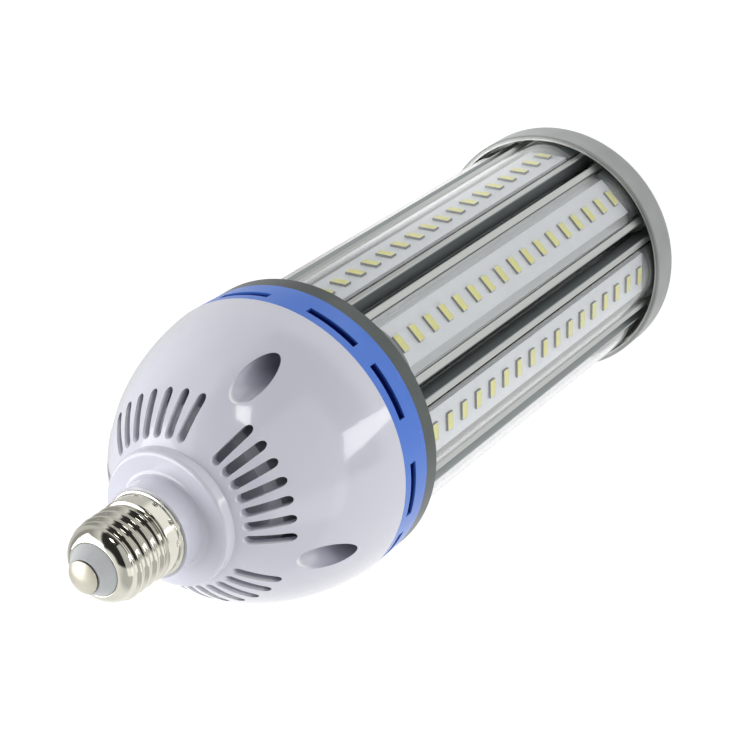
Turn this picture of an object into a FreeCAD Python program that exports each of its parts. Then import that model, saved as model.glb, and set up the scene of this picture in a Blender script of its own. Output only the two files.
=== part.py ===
"""LED corn lamp, standing on its flat end cap with the screw base up.

Eight extruded aluminium modules stand in a ring between a shallow end cap and
a collar.  Each module carries a strip of LEDs under a clear curved cover.
Above the collar come a slotted vent ring, a vented dome that holds the driver,
and an Edison screw base of the 27 mm size.  A small fan sits inside the vent
ring and blows down between the modules.

Millimetres.  Z is the lamp's axis.  The origin is the middle of the end cap's
outer face, and +X is the middle of the first module.
"""
import FreeCAD, Part
import math
import os

V = FreeCAD.Vector
AXIS = V(0, 0, 1)
ORIGIN = V(0, 0, 0)

# Modules: count, length and the cross-section of one, whose middle plane is y = 0
MODULE_COUNT = 8
MODULE_LENGTH = 178.8
MODULE_SLOPE = math.tan(math.pi / MODULE_COUNT)
BOARD_SEAT = 38.6          # radius of the flat that the LED board lies on
PLATE = 2.0                # thickness of the plate under that flat
LIP_HEIGHT = 3.0           # of the outer lips that hold the cover, over that flat
MODULE_GAP = 3.6           # between neighbouring modules at that flat
MODULE_HALF_WIDTH = BOARD_SEAT * MODULE_SLOPE - MODULE_GAP / 2
LIP_TOP = BOARD_SEAT + LIP_HEIGHT
LIP_WALL = 1.5
LIP_EDGE = 0.4             # bevels on the lip's top
GROOVE_WIDTH = 0.45        # fine grooves beside the board
GROOVE_DEPTH = 0.35
SEAT_GROOVES = 3
GROOVE_PITCH = 0.95
HOOK = 1.3                 # how far each lip reaches over the cover's foot
HOOK_THICKNESS = 0.8
FLANK_DEPTH = 14.0         # how far the flanks run in towards the axis
FLANK_WALL = 1.4
RIB_COUNT = 5              # fine ribs on the outside of each flank
RIB_HEIGHT = 0.45
RIB_WIDTH = 0.7
FIN_DEPTH = 6.0            # short cooling fins behind the plate
FIN_WALL = 1.2
FIN_GAP = 1.6              # from a fin to the screw channel
CHANNEL_DEPTH = 7.6        # from the board's flat in to the middle of the screw channel
CHANNEL_WALL = 1.3
CHANNEL_BORE = 1.5
CHANNEL_RADIUS = BOARD_SEAT - CHANNEL_DEPTH

# LED boards
BOARD_WIDTH = 15.4
BOARD_THICKNESS = 1.4
LED_PITCH = 9.4
LED_FIRST = 3.7            # from the lower end of the board to the first LED
LED_LENGTH = 6.6           # across the module
LED_WIDTH = 3.3            # along the lamp
LED_HEIGHT = 0.9

# Clear covers and the seals at their ends
COVER_RISE = 3.2           # of a cover's crown over the lips
COVER_WALL = 1.2
COVER_CLEARANCE = 0.1
LOWER_SEAL = 11.0
UPPER_SEAL = 8.0
COVER_CROWN = LIP_TOP + COVER_RISE
LED_COUNT = 1 + int((MODULE_LENGTH - LOWER_SEAL - UPPER_SEAL - 2 * LED_FIRST) / LED_PITCH)

# Screws
SCREW_HEAD = 2.9
SCREW_HEAD_HEIGHT = 1.6
SCREW_LENGTH = 10.0
SCREW_CLEARANCE = 0.2
SHANK_FIT = 0.05
SCREW_END_GAP = 0.5
BIG_HEAD = 3.6
BIG_HEAD_HEIGHT = 2.4
BIG_SHANK = 1.9

# End cap
CAP_HEIGHT = 13.0
CAP_FLOOR = 3.0
CAP_WALL = 1.8
CAP_ROOM = 0.7             # from the covers' crowns to the cap's wall
CAP_ROUND = 2.4
CAP_SLOTS = 12
CAP_SLOT_INNER = 8.0
CAP_SLOT_LAND = 3.9        # from the slots to the screw heads
CAP_SLOT_WIDTH = 3.0
CAP_RADIUS = COVER_CROWN + CAP_ROOM + CAP_WALL
CAP_SLOT_OUTER = CHANNEL_RADIUS - SCREW_HEAD - SCREW_CLEARANCE - CAP_SLOT_LAND

# Collar between the modules and the vent ring
COLLAR_PROUD = 5.2         # how far the collar stands out over the covers' crowns
COLLAR_HEIGHT = 6.4
COLLAR_FLOOR = 3.0
OPENING_LAND = 0.8         # from the middle opening to the screw heads
RIM_WALL = 2.6
POST_RADIUS = 4.6
POST_ROOM = 1.1            # from a post to the rim
EDGE_BEVEL = 0.5
COLLAR_RADIUS = COVER_CROWN + COLLAR_PROUD
COLLAR_OPENING = CHANNEL_RADIUS - SCREW_HEAD - SCREW_CLEARANCE - OPENING_LAND

# Vent ring: slots in pairs, which leave a wider stretch at the back
RING_HEIGHT = 13.2
RING_PROUD = 0.3           # how far the ring's top stands out over the collar
RING_PAIRS = 5
RING_TURN = 3.1            # middle of the middle pair, degrees from +X
RING_PAIR_ANGLE = 69.8     # between the middles of neighbouring pairs
RING_HALF_ANGLE = 15.5     # from the middle of a pair to the middle of a slot
RING_SLOT_ARC = 22.0
RING_SLOT_HEIGHT = 3.1
RING_SLOT_LOW = 6.8        # from the ring's foot to the slots
RING_RADIUS = COLLAR_RADIUS + RING_PROUD

# Dome housing and its neck
DOME_DROP = 10.9           # the ellipse's middle lies this far below the dome's foot
DOME_RISE = 70.3           # half height of that ellipse
DOME_WALL = 2.5
DOME_TURN = -21.8          # middle of the first group of vents, degrees from +X
GROUPS = 4
VENTS_PER_GROUP = 7
VENT_ANGLE = 10.1          # degrees between vents
VENT_INNER = 24.4
VENT_OUTER = 36.1
VENT_WIDTH = 3.0
STEP_RADIUS = 22.5
STEP_HEIGHT = 56.5         # from the dome's foot to the top of the wide step
NECK_RADIUS = 14.9
NECK_TOP = 65.4            # from the dome's foot to the seat of the screw base
NECK_BORE = 9.0
STUB_GAP = 1.2             # from the top of the neck's stub to the first thread
NECK_DEPTH = 12.0          # how far the neck's solid root reaches below its step
STEP_EDGE = 1.2
NECK_FILLET = 1.5

# Screw pockets in the dome, over the collar's posts
POCKET_CIRCLE = COLLAR_RADIUS - RIM_WALL - POST_ROOM - POST_RADIUS
POCKET_RADIUS = 4.8
POCKET_WALL = 1.8
POCKET_FLOOR = 3.6

# Screw base
THREAD_MAJOR = 26.4 / 2
THREAD_MINOR = 24.3 / 2
THREAD_PITCH = 3.62
THREAD_CRESTS = 4
BAND_LENGTH = 6.8          # plain band under the thread, with its rim
BAND_FIT = 0.15            # the band's radius over the thread's
BAND_BEVEL = 0.6
RIM_RADIUS = 14.04
RIM_EDGE = 0.5             # straight edge of the rim
RIM_SLOPE = 0.4            # from that edge up to the band
SHELL_SHEET = 0.4
SHELL_SHOULDER = 3.62      # height of the round shoulder over the thread
SHOULDER_OUT, SHOULDER_UP = 0.66, 0.6   # its middle, as shares of its width and height
SHELL_MOUTH = 8.6
MOUTH_FIT = 0.05           # how much narrower the mouth's hole is
SHELL_LENGTH = BAND_LENGTH + THREAD_CRESTS * THREAD_PITCH + SHELL_SHOULDER
CONTACT_RADIUS = 5.2
CONTACT_EDGE = 0.8
CONTACT_STEM = 1.5
CONTACT_HEIGHT = 2.4
INSULATOR_RISE = 4.2
INSULATOR_DEPTH = 4.0      # how far it reaches into the shell
INSULATOR_FLANGE = 0.9
INSULATOR_SLOPE = 0.6      # of the flange's upper edge
INSULATOR_LIP = 0.6        # left around the contact
CONTACT_STEM_LENGTH = INSULATOR_RISE + INSULATOR_DEPTH - CONTACT_EDGE
BASE_CLEARANCE = 0.15

# Fan
FAN_SIZE = 60.0
FAN_DEPTH = 15.0
FAN_BORE = 28.4
FAN_HOLE_REACH = 25.0      # from the middle to a corner screw, each way
FAN_CORNER = 4.0
FAN_HUB = 12.0
FAN_HUB_WALL = 1.2
FAN_BLADES = 7
FAN_PITCH = 38.0
FAN_TIP_GAP = 0.7
FAN_PLATE = 2.6
FAN_STRUT = 3.4
FAN_SHAFT = 1.5
FAN_RUNNING_GAP = 0.05
FAN_BEARING_WALL = 1.7
FAN_END_GAP = 0.8
FAN_HUB_ROOF = 1.6
FAN_TUBE_DROP = 4.0        # from the fan's top to its bearing tube
STATOR_DROP = 5.0          # and to the stator
STATOR_RADIUS = 9.8
STATOR_BORE_GAP = 0.1
STATOR_NOTCH = 2.4
STATOR_YOKE = 1.2
BLADE_END_GAP = 0.4
BLADE_THICKNESS = 1.2

# Driver board in the dome and what stands on it
DRIVER_LEVEL = 12.6        # from the dome's foot to the board's underside
DRIVER_GAP = 0.5           # from the board's edge to the pockets' tubes
DRIVER_THICKNESS = 1.6
LEDGE_WIDTH = 6.0
LEDGE_HEIGHT = 3.0
LEDGE_REACH = 5.5
POCKET_INSIDE = POCKET_CIRCLE - POCKET_RADIUS - POCKET_WALL
DRIVER_RADIUS = POCKET_INSIDE - DRIVER_GAP
DRIVER_HEAD = 2.5
DRIVER_SCREWS = POCKET_INSIDE - LEDGE_REACH / 2
CORE_WIDTH, CORE_DEPTH, CORE_HEIGHT = 24.0, 10.0, 18.0
BOBBIN_WIDTH, BOBBIN_DEPTH, BOBBIN_HEIGHT = 16.0, 20.0, 15.0
CORE_LIFT = 2.0
MAIN_CAN_RADIUS, MAIN_CAN_HEIGHT = 6.3, 21.0
OUTPUT_CAN_RADIUS, OUTPUT_CAN_HEIGHT = 5.0, 16.0
CAN_CREASE, CAN_BEVEL = 0.4, 0.6
CHOKE_RADIUS, CHOKE_BORE, CHOKE_THICKNESS, CHOKE_FOOT = 7.2, 3.0, 4.4, 1.4
RECTIFIER_THICKNESS, RECTIFIER_WIDTH, RECTIFIER_HEIGHT = 4.0, 14.0, 11.0
TERMINAL_DEPTH, TERMINAL_HEIGHT, TERMINAL_PITCH, TERMINALS = 7.0, 8.0, 5.0, 3
CANS_CIRCLE = 20.0         # radius on which the capacitors and the choke stand
BLOCKS_CIRCLE = 18.8       # and the rectifier and the terminal block

# Cover over the driver, which stands on its board
DRIVER_COVER_HEIGHT = 25.0
DRIVER_COVER_WALL = 1.5
DRIVER_COVER_BEVEL = 3.0
DRIVER_COVER_MOUTH = 10.0  # radius of the hole for the wires at its top
DRIVER_COVER_GAP = 0.65    # to the heads of the board's screws
DRIVER_COVER_SLOTS = 12    # in its wall, for the fan's air
DRIVER_COVER_SLOT = 2.0
DRIVER_COVER_LAND = 7.0    # from the slots to both ends of the wall

# Levels, from the end cap up
Z_MODULE = CAP_FLOOR
Z_COLLAR = Z_MODULE + MODULE_LENGTH
Z_RING = Z_COLLAR + COLLAR_HEIGHT
Z_DOME = Z_RING + RING_HEIGHT
Z_STEP = Z_DOME + STEP_HEIGHT
Z_BASE = Z_DOME + NECK_TOP
Z_FAN = Z_COLLAR + COLLAR_FLOOR
Z_DRIVER = Z_DOME + DRIVER_LEVEL
Z_PARTS = Z_DRIVER + DRIVER_THICKNESS

BOARD_FACE = BOARD_SEAT + BOARD_THICKNESS
BOARD_LOW = Z_MODULE + LOWER_SEAL
BOARD_HIGH = Z_COLLAR - UPPER_SEAL
DOME_CENTRE = Z_DOME - DOME_DROP
DOME_RADIUS = RING_RADIUS / math.sqrt(1 - (DOME_DROP / DOME_RISE) ** 2)
SHELL_BORE = THREAD_MAJOR + BAND_FIT - SHELL_SHEET
Z_STUB = Z_BASE + BAND_LENGTH - STUB_GAP
STUB_RADIUS = SHELL_BORE - BASE_CLEARANCE
POCKET_TURN = DOME_TURN + 180 / GROUPS
GROUP_ANGLES = [DOME_TURN + 360 / GROUPS * i for i in range(GROUPS)]
POCKET_ANGLES = [POCKET_TURN + 360 / GROUPS * i for i in range(GROUPS)]
MODULE_ANGLES = [360 / MODULE_COUNT * i for i in range(MODULE_COUNT)]
FAN_TURN = POCKET_TURN     # the fan's flat sides face the posts


def polar(radius, angle, z=0.0):
    a = math.radians(angle)
    return V(radius * math.cos(a), radius * math.sin(a), z)


def spun(shape, angle):
    copy = shape.copy()
    copy.rotate(ORIGIN, AXIS, angle)
    return copy


def moved(shape, offset):
    copy = shape.copy()
    copy.translate(offset)
    return copy


def cylinder(radius, low, high, at=ORIGIN):
    return Part.makeCylinder(radius, high - low, V(at.x, at.y, low))


def box(x0, x1, y0, y1, z0, z1):
    return Part.makeBox(x1 - x0, y1 - y0, z1 - z0, V(x0, y0, z0))


def turned(start, *steps):
    """Solid turned about Z from an outline of (radius, height) points.

    A step of four numbers is an arc: a point on the way, then its end.
    """
    here = V(start[0], 0, start[1])
    first = here
    edges = []
    for step in steps:
        there = V(step[-2], 0, step[-1])
        if len(step) == 4:
            edges.append(Part.Arc(here, V(step[0], 0, step[1]), there).toShape())
        else:
            edges.append(Part.LineSegment(here, there).toShape())
        here = there
    edges.append(Part.LineSegment(here, first).toShape())
    return Part.Face(Part.Wire(edges)).revolve(ORIGIN, AXIS, 360)


def corner(centre_r, centre_z, radius, angle_mid, angle_end):
    """Arc step for turned(): round a corner about its centre."""
    mid, end = math.radians(angle_mid), math.radians(angle_end)
    return (centre_r + radius * math.cos(mid), centre_z + radius * math.sin(mid),
            centre_r + radius * math.cos(end), centre_z + radius * math.sin(end))


def prism(points, low, high):
    """Upright prism over a polygon of (x, y) points."""
    wire = Part.makePolygon([V(x, y, low) for x, y in points + points[:1]])
    return Part.Face(wire).extrude(V(0, 0, high - low))


def bar(start, end, wall, low, high):
    """Upright plate whose section is a straight strip from start to end."""
    dx, dy = end[0] - start[0], end[1] - start[1]
    length = math.hypot(dx, dy)
    nx, ny = -dy / length * wall / 2, dx / length * wall / 2
    return prism([(start[0] + nx, start[1] + ny), (start[0] - nx, start[1] - ny),
                  (end[0] - nx, end[1] - ny), (end[0] + nx, end[1] + ny)], low, high)


def slot(inner, outer, width, low, high, angle):
    """Radial slot with round ends, as a solid to cut with."""
    half = width / 2
    body = box(inner + half, outer - half, -half, half, low, high)
    ends = [cylinder(half, low, high, V(r, 0, 0)) for r in (inner + half, outer - half)]
    return spun(body.fuse(ends).removeSplitter(), angle)


def screw(head_radius, head_height, shank_radius, length, at, up=True):
    """Pan-head screw: its head stands on the plane at, its shank points away."""
    side = 1 if up else -1
    head = Part.makeCylinder(head_radius, head_height, at, V(0, 0, side))
    shank = Part.makeCylinder(shank_radius, length, at, V(0, 0, -side))
    drive = Part.makeCylinder(head_radius * 0.45, head_height * 0.55,
                              at + V(0, 0, side * head_height * 0.45), V(0, 0, side))
    return head.fuse(shank).removeSplitter().cut(drive)


def both_sides(solids):
    mirrored = [s.mirror(ORIGIN, V(0, 1, 0)) for s in solids]
    return solids + mirrored


# Modules

def cover_circle():
    """Centre and outer radius of the circle that a cover's section follows."""
    foot_y = MODULE_HALF_WIDTH - LIP_WALL - COVER_CLEARANCE
    foot_x = LIP_TOP - HOOK_THICKNESS - COVER_CLEARANCE
    rise = COVER_CROWN - foot_x
    radius = (foot_y ** 2 + rise ** 2) / (2 * rise)
    return COVER_CROWN - radius, radius, foot_x, foot_y


def heat_sink():
    low, high = Z_MODULE, Z_COLLAR
    back = BOARD_SEAT - PLATE
    inside = MODULE_HALF_WIDTH - LIP_WALL
    flank_top = (BOARD_SEAT, MODULE_HALF_WIDTH - FLANK_WALL)
    flank_foot = (BOARD_SEAT - FLANK_DEPTH, flank_top[1] - FLANK_DEPTH * MODULE_SLOPE)
    plate = box(back, BOARD_SEAT, -inside - LIP_WALL / 2, inside + LIP_WALL / 2, low, high)
    half = MODULE_HALF_WIDTH
    lip = prism([(back, inside), (LIP_TOP, inside), (LIP_TOP, half - LIP_EDGE),
                 (LIP_TOP - LIP_EDGE, half), (back, half)], low, high)
    under_hook, hook_end = LIP_TOP - HOOK_THICKNESS, inside - HOOK
    hook = prism([(under_hook, hook_end), (LIP_TOP - LIP_EDGE, hook_end),
                  (LIP_TOP, hook_end + LIP_EDGE), (LIP_TOP, inside + LIP_WALL / 2),
                  (under_hook, inside + LIP_WALL / 2)], low, high)
    flank = bar(flank_top, flank_foot, FLANK_WALL, low, high)
    side = [lip, hook, flank]
    along = V(flank_foot[0] - flank_top[0], flank_foot[1] - flank_top[1], 0)
    outward = V(along.y, -along.x, 0).normalize()
    for i in range(RIB_COUNT):
        share = (i + 0.7) / (RIB_COUNT + 0.4)
        root = V(flank_top[0], flank_top[1], 0) + along * share
        tip = root + outward * (FLANK_WALL / 2 + RIB_HEIGHT)
        side.append(bar((root.x, root.y), (tip.x, tip.y), RIB_WIDTH, low, high))
    fin_y = CHANNEL_BORE + CHANNEL_WALL + FIN_GAP
    side.append(box(back - FIN_DEPTH, back + PLATE / 2, fin_y, fin_y + FIN_WALL, low, high))
    channel = cylinder(CHANNEL_BORE + CHANNEL_WALL, low, high, V(CHANNEL_RADIUS, 0, 0))
    web = box(CHANNEL_RADIUS, back + PLATE / 2, -FIN_WALL / 2, FIN_WALL / 2, low, high)
    body = plate.fuse(both_sides(side) + [channel, web])
    bore = cylinder(CHANNEL_BORE, low, high, V(CHANNEL_RADIUS, 0, 0))
    mouth = box(CHANNEL_RADIUS - CHANNEL_BORE - CHANNEL_WALL, CHANNEL_RADIUS,
                -CHANNEL_BORE * 0.5, CHANNEL_BORE * 0.5, low, high)
    grooves = []
    for i in range(SEAT_GROOVES):
        y = BOARD_WIDTH / 2 + GROOVE_PITCH * (i + 1)
        grooves.append(box(BOARD_SEAT - GROOVE_DEPTH, BOARD_SEAT + 1, y - GROOVE_WIDTH / 2,
                           y + GROOVE_WIDTH / 2, low, high))
    return body.cut([bore, mouth] + both_sides(grooves)).removeSplitter()


def clear_cover():
    centre, radius, foot_x, foot_y = cover_circle()
    outer = cylinder(radius, Z_MODULE, Z_COLLAR, V(centre, 0, 0))
    inner = cylinder(radius - COVER_WALL, Z_MODULE, Z_COLLAR, V(centre, 0, 0))
    window = box(foot_x - COVER_WALL, COVER_CROWN + 1, -foot_y, foot_y, Z_MODULE, Z_COLLAR)
    hooked = MODULE_HALF_WIDTH - LIP_WALL - HOOK - COVER_CLEARANCE
    landing = hooked - COVER_WALL
    arch = outer.cut(inner).common(window)
    above = [box(foot_x, COVER_CROWN, y0, y1, Z_MODULE, Z_COLLAR)
             for y0, y1 in ((hooked, foot_y + 1), (-foot_y - 1, -hooked))]
    feet = [box(foot_x - COVER_WALL, foot_x, y0, y1, Z_MODULE, Z_COLLAR)
            for y0, y1 in ((landing, foot_y), (-foot_y, -landing))]
    return arch.cut(above).fuse(feet).removeSplitter()


def led_board():
    return box(BOARD_SEAT, BOARD_FACE, -BOARD_WIDTH / 2, BOARD_WIDTH / 2, BOARD_LOW, BOARD_HIGH)


def led_row():
    leds = []
    for i in range(LED_COUNT):
        middle = BOARD_LOW + LED_FIRST + i * LED_PITCH
        leds.append(box(BOARD_FACE, BOARD_FACE + LED_HEIGHT, -LED_LENGTH / 2, LED_LENGTH / 2,
                        middle - LED_WIDTH / 2, middle + LED_WIDTH / 2))
    return Part.makeCompound(leds)


def seal(low, high):
    centre, radius, foot_x, foot_y = cover_circle()
    room = cylinder(radius - COVER_WALL - COVER_CLEARANCE, low, high, V(centre, 0, 0))
    half = foot_y - HOOK - COVER_WALL
    return room.common(box(BOARD_SEAT, COVER_CROWN, -half, half, low, high))


# End cap, collar and vent ring

def cap_screw_places():
    return [polar(CHANNEL_RADIUS, angle) for angle in MODULE_ANGLES]


def end_cap():
    r, h, e = CAP_RADIUS, CAP_HEIGHT, EDGE_BEVEL
    inner = r - CAP_WALL
    body = turned((0, 0), (r - CAP_ROUND, 0), corner(r - CAP_ROUND, CAP_ROUND, CAP_ROUND, -45, 0),
                  (r, h - e), (r - e, h), (inner, h), (inner, CAP_FLOOR), (0, CAP_FLOOR))
    cuts = [slot(CAP_SLOT_INNER, CAP_SLOT_OUTER, CAP_SLOT_WIDTH, -1, CAP_FLOOR + 1,
                 360 / CAP_SLOTS * i) for i in range(CAP_SLOTS)]
    for at in cap_screw_places():
        cuts.append(cylinder(SCREW_HEAD + SCREW_CLEARANCE, -1, SCREW_HEAD_HEIGHT, at))
        cuts.append(cylinder(CHANNEL_BORE + SCREW_CLEARANCE, -1, CAP_FLOOR + 1, at))
    return body.cut(cuts)


def module_collar():
    r, e = COLLAR_RADIUS, EDGE_BEVEL
    inner = r - RIM_WALL
    floor_top = Z_COLLAR + COLLAR_FLOOR
    body = turned((COLLAR_OPENING, Z_COLLAR), (r - e, Z_COLLAR), (r, Z_COLLAR + e), (r, Z_RING),
                  (inner, Z_RING), (inner, floor_top), (COLLAR_OPENING, floor_top))
    posts = [cylinder(POST_RADIUS, Z_COLLAR + 1, Z_DOME, polar(POCKET_CIRCLE, a))
             for a in POCKET_ANGLES]
    body = body.fuse(posts).removeSplitter()
    cuts = [cylinder(BIG_SHANK, floor_top, Z_DOME + 1, polar(POCKET_CIRCLE, a))
            for a in POCKET_ANGLES]
    for at in cap_screw_places():
        cuts.append(cylinder(CHANNEL_BORE + SCREW_CLEARANCE, Z_COLLAR - 1, floor_top, at))
        cuts.append(cylinder(SCREW_HEAD + SCREW_CLEARANCE, floor_top - SCREW_HEAD_HEIGHT,
                             floor_top + 1, at))
    cuts += [cylinder(CHANNEL_BORE, Z_COLLAR - 1, floor_top + 1, at) for at in fan_screw_places()]
    return body.cut(cuts)


def vent_ring():
    foot = COLLAR_RADIUS
    inner = COLLAR_RADIUS - RIM_WALL
    body = turned((inner, Z_RING), (foot, Z_RING), (RING_RADIUS, Z_DOME), (inner, Z_DOME))
    low = Z_RING + RING_SLOT_LOW
    section = Part.Face(Part.makePolygon([
        V(inner - 1, 0, low), V(RING_RADIUS + 1, 0, low),
        V(RING_RADIUS + 1, 0, low + RING_SLOT_HEIGHT), V(inner - 1, 0, low + RING_SLOT_HEIGHT),
        V(inner - 1, 0, low)]))
    sector = section.revolve(ORIGIN, AXIS, RING_SLOT_ARC)
    cuts = []
    for pair in range(RING_PAIRS):
        for side in (-1, 1):
            middle = (RING_TURN + RING_PAIR_ANGLE * (pair - (RING_PAIRS - 1) / 2)
                      + side * RING_HALF_ANGLE)
            cuts.append(spun(sector, middle - RING_SLOT_ARC / 2))
    return body.cut(cuts)


# Dome housing

def dome(inset):
    """Upper part of an ellipsoid that stands on the dome's foot, made smaller by inset."""
    rise, radius = DOME_RISE - inset, DOME_RADIUS - inset
    centre = V(0, 0, DOME_CENTRE)
    top = centre + V(0, 0, rise)
    ellipse = Part.Ellipse(top, centre + V(radius, 0, 0), centre)
    foot_turn = math.acos(DOME_DROP / rise)
    arc = Part.ArcOfEllipse(ellipse, 0, foot_turn).toShape()
    foot = V(radius * math.sin(foot_turn), 0, Z_DOME)
    middle = V(0, 0, Z_DOME)
    lines = [Part.LineSegment(foot, middle).toShape(), Part.LineSegment(middle, top).toShape()]
    return Part.Face(Part.Wire([arc] + lines)).revolve(ORIGIN, AXIS, 360)


def driver_housing():
    outside = dome(0)
    root, edge, fillet = Z_STEP - NECK_DEPTH, STEP_EDGE, NECK_FILLET
    neck = turned((0, root), (STEP_RADIUS + 0.3, root), (STEP_RADIUS, Z_STEP - edge),
                  corner(STEP_RADIUS - edge, Z_STEP - edge, edge, 45, 90),
                  (NECK_RADIUS + fillet, Z_STEP),
                  corner(NECK_RADIUS + fillet, Z_STEP + fillet, fillet, -135, -180),
                  (NECK_RADIUS, Z_BASE), (STUB_RADIUS, Z_BASE),
                  (STUB_RADIUS, Z_STUB), (0, Z_STUB))
    tubes = [cylinder(POCKET_RADIUS + POCKET_WALL, Z_DOME, Z_STEP, polar(POCKET_CIRCLE, a))
             .common(outside) for a in POCKET_ANGLES]
    ledge = box(POCKET_INSIDE - LEDGE_REACH, POCKET_INSIDE + POCKET_WALL / 2, -LEDGE_WIDTH / 2,
                LEDGE_WIDTH / 2, Z_DRIVER - LEDGE_HEIGHT, Z_DRIVER)
    ledges = [spun(ledge, a) for a in POCKET_ANGLES]
    shell = outside.fuse(neck).cut(dome(DOME_WALL)).fuse(tubes + ledges)
    cuts = [cylinder(NECK_BORE, root, Z_STUB + 1)]
    for a in POCKET_ANGLES:
        at = polar(POCKET_CIRCLE, a)
        cuts.append(cylinder(POCKET_RADIUS, Z_DOME + POCKET_FLOOR, Z_STEP, at))
        cuts.append(cylinder(BIG_SHANK + SCREW_CLEARANCE, Z_DOME - 1, Z_STEP, at))
        cuts.append(cylinder(CHANNEL_BORE, Z_DRIVER - LEDGE_HEIGHT - 1, Z_DRIVER + 1,
                             polar(DRIVER_SCREWS, a)))
    for group in GROUP_ANGLES:
        for i in range(VENTS_PER_GROUP):
            turn = group + (i - (VENTS_PER_GROUP - 1) / 2) * VENT_ANGLE
            cuts.append(slot(VENT_INNER, VENT_OUTER, VENT_WIDTH, Z_PARTS, Z_BASE, turn))
    return shell.cut(cuts).removeSplitter()


# Screw base

def shell_outline(inset):
    """The thread from the band up, moved in by inset: steps for turned(), and its end."""
    z = Z_BASE + BAND_LENGTH
    crest, root = THREAD_MAJOR - inset, THREAD_MINOR - inset
    shoulder = crest - (crest - root) / 6
    steps = [(root, z)]
    for i in range(THREAD_CRESTS):
        start = z + i * THREAD_PITCH
        steps += [(shoulder, start + 0.3 * THREAD_PITCH), (crest, start + 0.5 * THREAD_PITCH),
                  (shoulder, start + 0.7 * THREAD_PITCH), (root, start + THREAD_PITCH)]
    return steps, z + THREAD_CRESTS * THREAD_PITCH


def screw_shell():
    outer, end = shell_outline(0)
    inner, end = shell_outline(SHELL_SHEET)
    tip = Z_BASE + SHELL_LENGTH
    band = SHELL_BORE + SHELL_SHEET
    bulge = (THREAD_MINOR - SHELL_MOUTH) * SHOULDER_OUT + SHELL_MOUTH
    bulge_z = end + (tip - end) * SHOULDER_UP
    rim_top, band_top = Z_BASE + RIM_EDGE, Z_BASE + BAND_LENGTH - BAND_BEVEL
    mouth = SHELL_MOUTH - MOUTH_FIT
    solid = turned((0, Z_BASE), (RIM_RADIUS, Z_BASE), (RIM_RADIUS, rim_top),
                   (band, rim_top + RIM_SLOPE), (band, band_top), *outer,
                   (bulge, bulge_z, SHELL_MOUTH, tip), (0, tip))
    hollow = turned((0, Z_BASE), (SHELL_BORE, Z_BASE), (SHELL_BORE, band_top), *inner,
                    (bulge - SHELL_SHEET, bulge_z - SHELL_SHEET, mouth, tip - SHELL_SHEET),
                    (mouth, tip + 1), (0, tip + 1))
    return solid.cut(hollow)


def base_insulator():
    tip = Z_BASE + SHELL_LENGTH
    waist = SHELL_MOUTH - BASE_CLEARANCE
    flange = waist + INSULATOR_FLANGE
    top = tip + INSULATOR_RISE
    foot, ledge = tip - INSULATOR_DEPTH, tip - INSULATOR_DEPTH / 2
    body = turned((0, foot), (flange, foot), (flange, ledge), (waist, ledge + INSULATOR_SLOPE),
                  (waist, tip), (CONTACT_RADIUS + INSULATOR_LIP, top), (0, top))
    return body.cut(cylinder(CONTACT_STEM + BASE_CLEARANCE, foot - 1, top + 1))


def centre_contact():
    foot = Z_BASE + SHELL_LENGTH + INSULATOR_RISE
    top = foot + CONTACT_HEIGHT
    rise = CONTACT_HEIGHT - CONTACT_EDGE
    ball_radius = (CONTACT_RADIUS ** 2 + rise ** 2) / (2 * rise)
    ball = Part.makeSphere(ball_radius, V(0, 0, top - ball_radius))
    cap = cylinder(CONTACT_RADIUS, foot, top).common(ball)
    stem = cylinder(CONTACT_STEM, foot - CONTACT_STEM_LENGTH, foot + CONTACT_EDGE / 2)
    return cap.fuse(stem).removeSplitter()


# Fan

def fan_screw_places():
    return [spun(Part.Vertex(x * FAN_HOLE_REACH, y * FAN_HOLE_REACH, 0), FAN_TURN).Point
            for x in (-1, 1) for y in (-1, 1)]


def fan_frame():
    half = FAN_SIZE / 2
    body = box(-half, half, -half, half, Z_FAN, Z_FAN + FAN_DEPTH)
    body = body.makeFillet(FAN_CORNER, [e for e in body.Edges
                                        if abs(e.tangentAt(e.FirstParameter).z) > 0.9])
    body = body.cut(cylinder(FAN_BORE, Z_FAN - 1, Z_FAN + FAN_DEPTH + 1))
    plate_top = Z_FAN + FAN_PLATE
    struts = [spun(box(0, FAN_BORE + 1, -FAN_STRUT / 2, FAN_STRUT / 2, Z_FAN, plate_top), a)
              for a in (0, 90, 180, 270)]
    tube_radius = FAN_SHAFT + FAN_RUNNING_GAP + FAN_BEARING_WALL
    tube_top = Z_FAN + FAN_DEPTH - FAN_TUBE_DROP
    body = body.fuse(struts + [cylinder(FAN_HUB, Z_FAN, plate_top),
                               cylinder(tube_radius, Z_FAN, tube_top)]).removeSplitter()
    body = body.cut(cylinder(FAN_SHAFT + FAN_RUNNING_GAP, Z_FAN - 1, tube_top + 1))
    body.rotate(ORIGIN, AXIS, FAN_TURN)
    return body.cut([cylinder(CHANNEL_BORE + SCREW_CLEARANCE, Z_FAN - 1, Z_FAN + FAN_DEPTH + 1, at)
                     for at in fan_screw_places()])


def fan_stator():
    tube_radius = FAN_SHAFT + FAN_RUNNING_GAP + FAN_BEARING_WALL
    low, high = Z_FAN + FAN_PLATE, Z_FAN + FAN_DEPTH - STATOR_DROP
    ring = cylinder(STATOR_RADIUS, low, high)
    notch = box(STATOR_RADIUS * 0.55, STATOR_RADIUS + 1, -STATOR_NOTCH / 2, STATOR_NOTCH / 2,
                low + STATOR_YOKE, high - STATOR_YOKE)
    notches = [spun(notch, 45 + 90 * i) for i in range(4)]
    return ring.cut(notches + [cylinder(tube_radius + STATOR_BORE_GAP, low - 1, high + 1)])


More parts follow.
